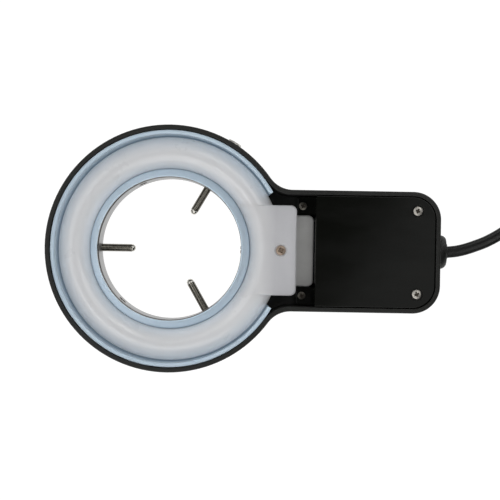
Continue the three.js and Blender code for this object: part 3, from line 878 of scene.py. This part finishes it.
def bosses():
    """The pillars under the lamp's, the cover's and the shelf's screws."""
    r, top = LAMP_BOSS
    pillars = [upright("boss", r, LAMP_SCREW_X, 0, RING_BACK_Z + 0.5, top)]
    for spot, (r, top) in ((COVER_SCREW, COVER_BOSS), (SHELF_SCREW, SHELF_BOSS)):
        pillars += [upright("boss", r, x, y, 0.5, top) for x, y in both_sides(spot)]
    return pillars


def added_shapes():
    """The neck around the collar, the pocket around the switch, and the pillars."""
    neck = lathe("neck", [(NECK_R, RING_BACK_Z + 0.5), (NECK_R, 19.4), (32.1, 23.3), (31.7, 23.6)],
                 solid=True)
    pocket = block("pocket", (SWITCH_X - 10.2, SWITCH_X + 10.2), (-13.2, 13.2), (0.4, 5.1))
    return [neck, pocket, *bosses()]


def bore():
    """The way through for the collar, and a narrower one above it."""
    low_r, high_r, step_z = SPIGOT_R + GAP, BORE_R + 0.4, COLLAR_HI.z + GAP
    return lathe("bore", [(low_r, -1), (low_r, step_z), (high_r, step_z), (high_r, RIM_Z + 1)],
                 solid=True)


def switch_opening():
    """A recess for the switch's flange, and a throat for its body."""
    plate = plate_outline(SWITCH_X - 8.6, SWITCH_X + 8.6, 11.6, 1.5, 1.5)
    throat = plate_outline(SWITCH_X - 6.6, SWITCH_X + 6.6, 9.6, 0.8, 0.8)
    return [prism("recess", plate, [(-0.5, -0.5), (-0.5, 0), (0, 0.5), (0, 3.4)]),
            prism("throat", throat, [(0, 3), (0, 6)])]


def screw_holes():
    """The pilot holes in the pillars, and those in the neck for the collar's screws."""
    holes = [upright("hole", HOLE_R, LAMP_SCREW_X, 0, RING_BACK_Z + 1, LAMP_BOSS[1] + 1)]
    for spot, low, top in ((COVER_SCREW, 17, COVER_BOSS[1] + 1), (SHELF_SCREW, 6, SHELF_BOSS[1] + 1)):
        holes += [upright("hole", HOLE_R, x, y, low, top) for x, y in both_sides(spot)]
    holes += [outward(rod("hole", 1.3, 30, 35), deg, COLLAR_SCREW_Z) for deg in COLLAR_SCREW_DEGS]
    return holes


def housing():
    """The moulded head: shells, hollows, what stands inside, and every hole."""
    shell = join(cut(outer_shapes(), *inner_shapes()), *added_shapes())
    cord_hole = moved(outward(rod("hole", 6, 110, 120), 0, EXIT[2]), y=EXIT[1])
    return cut(shell, bore(), *switch_opening(), *screw_holes(), cord_hole)


# ---- collar ----
def collar():
    """A turned ring with a flange, tapped for the thumbscrews and countersunk for its own screws."""
    flange_r, flange_top, top = COLLAR_HI.x, RING_BACK_Z - GAP, COLLAR_HI.z
    body = lathe("collar_ring", rounded([
        (BORE_R, 0, 0.4), (flange_r, 0, 0.5), (flange_r, flange_top, 0.3),
        (SPIGOT_R, flange_top, 0.3), (SPIGOT_R, top, 0.25), (BORE_R, top, 0.35)]), 180)
    threads = [outward(rod("thread", THUMB_R + 0.08, 28, 40, 48), deg, THUMB_Z) for deg, _ in THUMBS]
    seat = [(1.95, 28), (1.95, BORE_R), (1.3, BORE_R + 0.8), (1.3, 35)]
    seats = [outward(lathe("seat", seat, 24, solid=True), deg, COLLAR_SCREW_Z)
             for deg in COLLAR_SCREW_DEGS]
    return cut(body, *threads, *seats)


# ---- screws ----
DOME_EDGE = math.radians(24)  # how steep a round head is at its edge
SHANK_R = 1.1
RECESS_REACH = 0.66  # half length and half width of the recess's arms, over the head's radius
RECESS_WIDE = 0.26
RECESS_DEPTH = 0.85  # over the head's height

# (name, head radius, head height, spot, material, record slot)
PAIRED_SCREWS = (
    ("cover_screw", 1.95, 1.0, COVER_SCREW, "nickel", "bright_steel"),
    # the shelf's screws take nickel darkened all over by painted shade
    ("shelf_screw", 1.75, 1.2, SHELF_SCREW, "nickel_painted_shade", "dark_steel"),
)


def cross_recess(r, top, depth):
    """Two tapered bars crossing at right angles, with a pit where they meet."""
    reach, wide = RECESS_REACH * r, RECESS_WIDE * r
    arms = []
    for turn in (0, 90):
        rings = []
        for grow, z in ((0.55, top - depth), (1.0, top + 0.4)):
            a, b = reach * grow, wide * grow
            rings.append([(x, y, z) for x, y in rectangle(-a, a, -b, b)])
        arms.append(rotated(loft("arm", rings), turn))
    pit = lathe("pit", [(0.1, top - depth * 1.3), (reach * 0.6, top + 0.4)], 16, solid=True)
    return [*arms, pit]


def cross_screw(name, r, top, head, bottom):
    """A round-headed screw with a cross recess and a plain shank, drawn up the Z axis."""
    ball = r / math.sin(DOME_EDGE)
    seat = top - head
    angles = [DOME_EDGE * k / 10 for k in range(10, 0, -1)]
    dome = [(ball * math.sin(a), top - ball * (1 - math.cos(a))) for a in angles]
    profile = [(0.4, bottom), (0.7, bottom + 0.2), (SHANK_R, bottom + 1.2), (SHANK_R, seat),
               (r, seat), *dome]
    return cut(lathe(name, profile, 48, solid=True), *cross_recess(r, top, RECESS_DEPTH * head))


def paint_recess_shade(screw, r, top, x, y):
    """Paints shade on the faces sunk below the head's dome, by giving them the dark recess material."""
    screw.data.materials.append(MATERIALS["dark_metal_and_recess_shade"])
    axis = place(x, y, 0)
    for face in screw.data.polygons:
        away = (face.center.xy - axis.xy).length / MM
        dome = top - away ** 2 * math.sin(DOME_EDGE) / (2 * r)
        if away < math.hypot(RECESS_REACH, RECESS_WIDE) * r and face.center.z / MM < dome - 0.04:
            face.material_index = 1


def add_lamp_screw():
    lo, hi = span("lamp_screw")
    screw = moved(rotated(cross_screw("lamp_screw_head", 2.15, hi.z, 1.2, lo.z), 25), LAMP_SCREW_X)
    settle(smooth(screw), "dull_brass", ("lamp_screw",))


def add_paired_screws():
    """The cover's and the shelf's screws, each driven home to an angle of its own."""
    for kind, r, head, (x, y), finish, slot in PAIRED_SCREWS:
        for i, side in ((1, 1), (2, -1)):
            node = f"{kind}_{i}"
            lo, hi = span(node)
            screw = rotated(cross_screw(f"{node}_head", r, hi.z, head, lo.z), 40 * i - 60)
            settle(smooth(moved(screw, x, side * y)), finish, (node,))
            # painted shade in the cross recess
            paint_recess_shade(screw, r, hi.z, x, side * y)


def add_collar_screws():
    """Countersunk screws seen from the bore, drawn up the Z axis with the head first."""
    profile = [(1.2, BORE_R - 0.28), (1.65, BORE_R - 0.2), (1.8, BORE_R), (1.0, BORE_R + 0.85),
               (1.0, 33.4), (0.8, 33.6)]
    for i, deg in enumerate(COLLAR_SCREW_DEGS, 1):
        screw = lathe(f"collar_screw_{i}_head", profile, 32, solid=True)
        slot = block("slot", (-2, 2), (-0.22, 0.22), (BORE_R - 1, BORE_R + 0.25))
        screw = outward(cut(screw, slot), deg, COLLAR_SCREW_Z)
        settle(smooth(screw), "dark_metal_and_recess_shade", (f"collar_screw_{i}",))


# ---- thumbscrews, drawn up the Z axis from the tip's end ----
def heightfield(radius, z0, z1, step, sides):
    """Rings up the Z axis, with the radius at each point given by radius(angle, z)."""
    rings = []
    for i in range(round((z1 - z0) / step) + 1):
        z = z0 + i * step
        points = [(a, radius(a, z)) for a in angles_round(sides)]
        rings.append([(r * math.cos(a), r * math.sin(a), z) for a, r in points])
    return rings


def thumbscrew_shaft(name):
    """A rolled thread with rounded crests, which fades out at both ends."""
    start, pitch, depth, crest_r = TIP_LENGTH + 0.1, 0.6, 0.08, THUMB_R - 0.04

    def thread(angle, z):
        fade = smoothstep(min(z - start, SHAFT_END - z) / (2 * pitch))
        wave = (0.5 - 0.5 * math.cos(2 * math.pi * z / pitch - angle)) ** 6
        return crest_r - depth * wave * fade

    return loft(name, heightfield(thread, start, SHAFT_END, pitch / 8, 28))


def thumbscrew_head(name):
    """A knurled head with chamfered ends, a boss beneath and a dimple on top."""
    r, sides, ridges, slant, depth, chamfer = 3.3, 96, 16, 2.4, 0.22, 0.5

    def knurl(angle, z):
        inset = min(z - KNURL_START, THUMB_LENGTH - z)
        cross = abs(math.sin(angle * ridges + z * slant)) * abs(math.sin(angle * ridges - z * slant))
        return r - chamfer * max(0, 1 - inset / chamfer) - depth * (1 - cross) * (0.3 < inset)

    boss = [circle(2.5, SHAFT_END, sides), circle(2.5, KNURL_START, sides)]
    dimple = [circle(1.7, THUMB_LENGTH, sides), circle(1.3, THUMB_LENGTH - 0.7, sides)]
    return loft(name, boss + heightfield(knurl, KNURL_START, THUMB_LENGTH, 0.15, sides) + dimple)


def thumbscrew_tip(name):
    """A polished round end on a stem that turns freely in the shaft."""
    r, stem_r, stem = THUMB_R - 0.06, 0.6, 1.9
    profile = [(0.25, 0.01), *arc(0, r, r - 0.02, -80, 0, 8), (r, TIP_LENGTH), (stem_r, TIP_LENGTH),
               (stem_r, TIP_LENGTH + stem)]
    return lathe(name, profile, 48, solid=True)


def add_thumbscrews():
    """Three alike: the tip slides, and the shaft with its head turns as well."""
    for i, (deg, tip_at) in enumerate(THUMBS, 1):
        tip, screw = f"thumbscrew_tip_{i}", f"thumbscrew_{i}"
        for kind, maker, finish, slot, nodes, body in (
                ("round_end", thumbscrew_tip, "tip_steel", "dark_steel", (tip,), tip),
                ("shaft", thumbscrew_shaft, "screw_steel", "dark_steel", (screw,), screw),
                ("head", thumbscrew_head, "knurl_steel", "bright_steel", (), screw)):
            piece = outward(moved(maker(f"{screw}_{kind}"), z=tip_at), deg, THUMB_Z)
            settle(smooth(piece, 40), finish, nodes, body)


# ---- reflector and lamp ----
CUT_HALF_DEG = 29.3  # half of the gap in the reflector for the lamp's end cap
REFLECTOR_TOP_Z = 31.0
INNER_RIM_Z = 27.0
INNER_RIM_R = 31.4
SHEET = 0.8


def reflector():
    """A channel of sheet with a lip outside and a rim that leans in over the collar."""
    outer, inner, lip = CHANNEL_OUT, CHANNEL_IN, 51.35
    low = FLOOR_TOP_Z + GAP
    tray = lathe("reflector_tray", rounded([
        (outer, REFLECTOR_TOP_Z, 0.8), (lip, REFLECTOR_TOP_Z, 0.3), (lip, REFLECTOR_TOP_Z - 1, 0.3),
        (outer + SHEET, 19, 0.5), (outer + SHEET, low, 1.6), (inner - SHEET, low, 1.6),
        (inner - SHEET, 19.3, 0.3), (INNER_RIM_R, 25.4, 0.3), (INNER_RIM_R, INNER_RIM_Z, 0.25),
        (INNER_RIM_R + 0.5, INNER_RIM_Z, 0.2), (inner, 19.5, 1.2),
        (inner, low + SHEET, 1.2), (outer, low + SHEET, 1.2)]), 240)
    half = math.radians(CUT_HALF_DEG)
    far, near = 60.0, LAMP_R + 1.2
    wedge = [(r * math.cos(a), r * math.sin(a)) for r, a in
             [(near, -half), (far, -half), (far, 0), (far, half), (near, half), (near, 0)]]
    return cut(tray, loft("gap", [[(x, y, z) for x, y in wedge] for z in (0, 40)]))


def lamp_ring(name):
    section = [(LAMP_R + TUBE_R * math.cos(a), LAMP_Z + TUBE_R * math.sin(a)) for a in angles_round(56)]
    return lathe(name, section, 240)


def cap_space(name):
    """The part of the lamp's ring that the end cap takes up."""
    return block(name, (0, 60), (-TAB_HI.y, TAB_HI.y), (0, 40))


def lamp_tube():
    return cut(lamp_ring("lamp_glass_ring"), cap_space("gap"))


def pin_holes(low, high):
    return [upright("pin", HOLE_R, PIN_X, y, low, high) for y in PIN_YS]


def tab_outline(inset):
    """Runs in under the crest of the tube, so that the tab grows out of it without a step."""
    half, corner, front = TAB_HI.y - inset, 2.6 - inset, TAB_HI.x - inset
    turn = math.degrees(math.asin(half / LAMP_R))
    return [
        *arc(0, 0, LAMP_R, turn, -turn, turn / 10),
        *arc(front - corner, -half + corner, corner, 270, 360, 9),
        *arc(front - corner, half - corner, corner, 0, 90, 9),
    ]


def tab_hollow(top):
    """A wide shallow trough along the tab's top."""
    r, depth, reach = 40, 0.2, TAB_HI.y + 1
    trough = rotated(rod("hollow", r, -reach, reach, 160), 90, "X")
    return moved(trough, x=LAMP_SCREW_X + 0.3, z=top + r - depth)


def tab_screw_seat(top):
    """A stepped hole that the screw's head sits down in."""
    seat = lathe("seat", [(HOLE_R, 0), (HOLE_R, top - 1.55), (2.25, top - 1.55), (2.25, top - 1.1),
                          (2.75, top - 0.4), (3.2, top + 0.2)], 48, solid=True)
    return moved(seat, x=LAMP_SCREW_X)


def lamp_base():
    """The end cap carries on the tube's shape and ends in a flat tab, hollowed a little."""
    top, edge = LAMP_Z + TUBE_R - 0.02, 0.8
    cap = combined(lamp_ring("lamp_cap"), [cap_space("end")], "INTERSECT")
    tab = prism("tab", tab_outline, [
        (0.3, 17.3), (0, 17.6), *arc(edge, top - edge, edge, 180, 90, 18)])
    return cut(join(cap, tab), tab_hollow(top), tab_screw_seat(top), *pin_holes(16, 20))


def lamp_socket():
    """A rounded block under the tab, notched around the lamp screw's pillar."""
    low, high, edge = SOCKET_LO.z, SOCKET_HI.z, 0.9
    outline = plate_outline(SOCKET_LO.x, SOCKET_HI.x, SOCKET_HI.y, 2.6, 1.0)
    body = prism("lamp_socket_body", outline, [
        (0.3, low), (0, low + 0.3), *arc(edge, high - edge, edge, 180, 90, 18)])
    notch = upright("notch", LAMP_BOSS[0] + GAP, LAMP_SCREW_X, 0, 0, LAMP_BOSS[1] + GAP)
    return cut(body, notch, *pin_holes(low + 0.8, high + 1))


# ---- cover ----
def cover_lid(top, half):
    """The raised plate: round corners at the handle's end, and cut square beside the lamp."""
    edge, corner = 0.3, HANDLE_CORNER - WALL - GAP
    lid = prism("ballast_cover_lid", plate_outline(COVER_X - 2, COVER_HI.x, half, corner), [
        (0.2, top - 2), (0, top - 1.8), *arc(edge, top - edge, edge, 180, 90, 15)])
    return cut(lid, block("square_end", (COVER_X - 3, COVER_X), (-half - 1, half + 1), (0, top + 1)))


def cover_shelf(half):
    """The low shelf in front of the lid."""
    return prism("shelf", plate_outline(COVER_LO.x, COVER_X + 0.5, half, 0.3, 1.2),
                 [(0, SHELF_Z - 1.5), (0, SHELF_Z - 0.3), (0.3, SHELF_Z)])


def cover_holes(top):
    """Countersunk holes in the lid and plain ones in the shelf."""
    seat = [(HOLE_R, top - 4), (HOLE_R, top - 1.2), (2.75, top - 1.2), (2.75, top - 0.2),
            (3.0, top + 0.2)]
    holes = [moved(lathe("seat", seat, 40, solid=True), x, y) for x, y in both_sides(COVER_SCREW)]
    holes += [upright("hole", HOLE_R, x, y, SHELF_Z - 2, SHELF_Z + 1)
              for x, y in both_sides(SHELF_SCREW)]
    return holes


def ballast_cover():
    """Lid, shelf and the wall between them, with room for the socket to run in."""
    top, half, socket_half = COVER_HI.z, COVER_HI.y, SOCKET_HI.y + GAP
    wall = block("front", (COVER_X + 0.02, COVER_X + 1.5), (-half + 0.3, half - 0.3),
                 (SHELF_Z - 1.5, top - 1.5))
    gap = block("gap", (COVER_LO.x - 2, COVER_X), (-socket_half, socket_half), (0, SHELF_Z + 1))
    return cut(join(cover_lid(top, half), wall, cover_shelf(half)), gap, *cover_holes(top))


# ---- strain relief ----
def domed(wide, narrow, z0, z1):
    """A quarter of an ellipse, from the wide radius at z0 to the narrow one at z1."""
    angles = [math.radians(10 * k) for k in range(1, 10)]
    return [(narrow + (wide - narrow) * math.cos(a), z0 + (z1 - z0) * math.sin(a)) for a in angles]


def strain_relief():
    """A snap-in bushing: a domed flange in two halves that grip the flat cord."""
    wall, flange_r, end = HANDLE_END, 7.45, 121.6
    flange = wall + GAP
    profile = [(3.6, 101.5), (4.0, 101.9), (4.5, 103), (5.5, wall - 3), (5.7, wall), (5.7, flange),
               (flange_r - 0.35, flange), (flange_r, flange + 0.35), (flange_r, flange + 0.9),
               *domed(flange_r, 5.0, flange + 0.9, end), (3.4, end), (3.2, EXIT[0])]
    body = outward(lathe("strain_relief_body", profile, 72, solid=True), 0, 0)
    half_wide, half_thick = CORD_WIDTH / 2 + 0.25, CORD_THICK / 2 + 0.2
    slot = block("slot", (100, 130), (-half_wide, half_wide), (-half_thick, half_thick))
    parting = block("parting", (end - 0.4, 130), (3.6, 3.9), (-8, 8))
    step = block("step", (end - 0.3, 130), (3.8, 8), (-8, 8))
    return moved(cut(body, slot, parting, step), y=EXIT[1], z=EXIT[2])


# (maker, which has its node's name, material, record slot, angle of a crisp edge)
for maker, finish, slot, angle in (
        (housing, "housing_plastic", "housing_black", 30),
        (collar, "collar_metal", "collar_metal", 30),
        (reflector, "reflector_plastic", "reflector_white", 30),
        (lamp_tube, "lamp_glass", "lamp_glass", 30),
        (lamp_base, "lamp_plastic", "lamp_plastic", 30),
        (lamp_socket, "socket_plastic", "socket_plastic", 30),
        (ballast_cover, "cover_plastic", "cover_black", 30),
        (strain_relief, "moulded_rubber", "moulded_black", 35)):
    settle(smooth(maker(), angle), finish, (maker.__name__,))
add_lamp_screw()
add_paired_screws()
add_collar_screws()
add_thumbscrews()


# ---- CAD nodes whose shape is right keep it, with round edges and a real surface ----
CARRIED = {
    "housing_plastic": ("switch_body",),
    "cover_plastic": ("switch_rocker",),
    "dull_brass": ("lamp_pin_1", "lamp_pin_2", "lamp_pin_3", "lamp_pin_4"),
    "nickel": ("rocker_pin", "fuse"),
    "circuit_board": ("ballast_board",),
    "ferrite": ("choke_core",),
    "copper_wire": ("choke_winding",),
    "component_plastic": ("bulk_capacitor", "transistor_1", "transistor_2"),
    "dipped_epoxy": ("film_capacitor_1", "film_capacitor_2"),
    "tie_plastic": ("lamp_lead_left", "lamp_lead_right"),
    "cord_jacket": ("mains_core_live", "mains_core_neutral", "switch_lead"),
}


def dress(node, finish):
    """Welds a CAD node's facets, rounds its edges and gives it a material."""
    node.data.materials.clear()
    node.data.materials.append(MATERIALS[finish])
    weld = node.modifiers.new("weld", "WELD")
    weld.merge_threshold = 1e-6
    round_edges(node, 0.25, 3, 40)
    weight_normals(node)


for finish, names in CARRIED.items():
    for name in names:
        dress(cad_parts[name], finish)


# ---- floor, light and air ----
# (name, place in metres, size in metres, power in watts)
LIGHTS = (
    ("left", (-0.5, 0.1, 0.7), 0.7, 1.8),
    ("upper_right", (0.35, 0.38, 0.7), 0.6, 1.7),
    ("near", (-0.15, -0.55, 0.65), 0.8, 2.9),
    ("low_left", (-0.8, 0.25, 0.38), 0.18, 0.8),
    ("low_right", (0.6, 0.6, 0.3), 0.22, 1.1),
    ("overhead", (0.296, -0.159, 1.43), 0.4, 0.16),
)


@kept
def floor_white():
    """A white that glows enough to show no shadow."""
    return Surface((0.1, 0.1, 0.1), 0.8, Specular_IOR_Level=0.1, Emission_Color=(1, 1, 1, 1),
                   Emission_Strength=1.0)


def add_floor():
    """A wide table, a hair below the object."""
    mesh = bpy.data.meshes.new("floor")
    side = 2.5
    corners = [(x, y, 0) for x, y in rectangle(-side, side, -side, side)]
    mesh.from_pydata(corners, [], [(0, 1, 2, 3)])
    mesh.materials.append(MATERIALS["floor_white"])
    floor = bpy.data.objects.new("floor", mesh)
    floor.location.z = -0.0005
    show(floor)


def add_light(name, spot, size, power):
    """A square soft box that faces the origin."""
    data = bpy.data.lights.new(name, "AREA")
    data.energy = power
    data.size = size
    light = bpy.data.objects.new(name, data)
    light.location = spot
    light.rotation_euler = Vector(spot).to_track_quat("Z", "Y").to_euler()
    show(light)


def add_world():
    """Soft light from all round that falls off towards the top, where the camera is."""
    world = bpy.data.worlds.new("studio")
    world.use_nodes = True
    nodes, links = world.node_tree.nodes, world.node_tree.links
    coordinates = nodes.new("ShaderNodeTexCoord")
    parts = nodes.new("ShaderNodeSeparateXYZ")
    ramp = nodes.new("ShaderNodeMapRange")
    ramp.interpolation_type = "SMOOTHSTEP"
    set_inputs(ramp, From_Min=0.88, From_Max=0.99, To_Min=0.82, To_Max=0.08)
    links.new(coordinates.outputs["Generated"], parts.inputs["Vector"])
    links.new(parts.outputs["Z"], ramp.inputs["Value"])
    links.new(ramp.outputs["Result"], nodes["Background"].inputs["Strength"])
    bpy.context.scene.world = world


add_floor()
add_world()
for light in LIGHTS:
    add_light(*light)
bpy.context.scene.view_settings.view_transform = "Standard"
